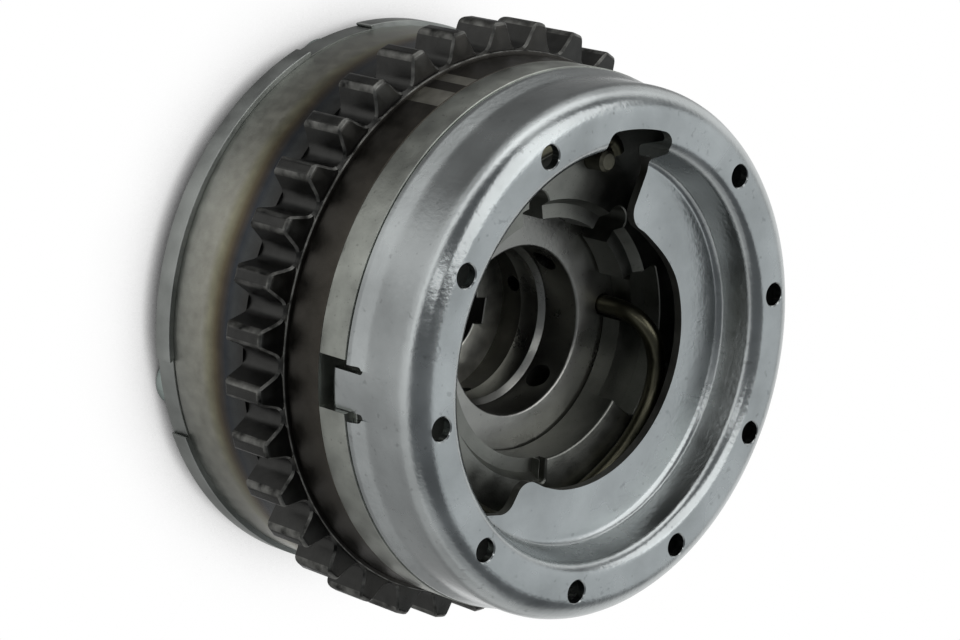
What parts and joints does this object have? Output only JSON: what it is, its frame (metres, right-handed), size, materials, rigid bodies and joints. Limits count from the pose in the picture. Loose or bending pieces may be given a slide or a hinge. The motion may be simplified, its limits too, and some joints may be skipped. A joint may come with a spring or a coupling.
{
  "type": "camshaft pulley",
  "caption": "Timing-chain sprocket with a vane-type camshaft adjuster inside and a pressed pulse wheel with a dished, half-open front.",
  "frame": {"origin": "on the part's axis, in the plane of the screw heads that it stands on", "axes": "+Z along the axis, towards the pulse wheel; +X through one of the wheel's small holes"},
  "size_m": [0.1064, 0.1064, 0.0658],
  "materials": {
    "sprocket_steel": "dark, tinted by heat towards the teeth",
    "cover_steel": "satin",
    "wheel_steel": "satin, rolled sheet",
    "zinc_plate": "zinc plated",
    "bright_steel": "ground",
    "rotor_steel": "machined",
    "spring_steel": "dark, oiled",
    "seal_plastic": "matte"
  },
  "bodies": {
    "housing": {"sprocket_housing": "sprocket_steel", "rear_cover": "cover_steel", "front_cover": "cover_steel", "pulse_wheel": "wheel_steel", "cover_screws": "zinc_plate", "locating_dowels": "bright_steel", "lock_bush": "bright_steel", "spring_stud": "bright_steel", "return_spring": "spring_steel"},
    "rotor": {"rotor": "rotor_steel", "lock_pin_cap": "bright_steel", "lock_pin_spring": "spring_steel", "vane_seal_1": "seal_plastic", "vane_seal_spring_1": "spring_steel", "vane_seal_2": "seal_plastic", "vane_seal_spring_2": "spring_steel", "vane_seal_3": "seal_plastic", "vane_seal_spring_3": "spring_steel", "vane_seal_4": "seal_plastic", "vane_seal_spring_4": "spring_steel"},
    "lock_pin": {"lock_pin": "bright_steel"}
  },
  "joints": [
    {"name": "rotor_phase", "type": "hinge", "parent": "housing", "child": "rotor", "pos_m": [0, 0, 0.026], "axis": [0, 0, 1], "range_deg": [0, 12], "deforming": ["return_spring"]},
    {"name": "lock_pin_slide", "type": "slide", "parent": "rotor", "child": "lock_pin", "axis": [0, 0, 1], "range_m": [0, 0.003], "deforming": ["lock_pin_spring"]}
  ]
}
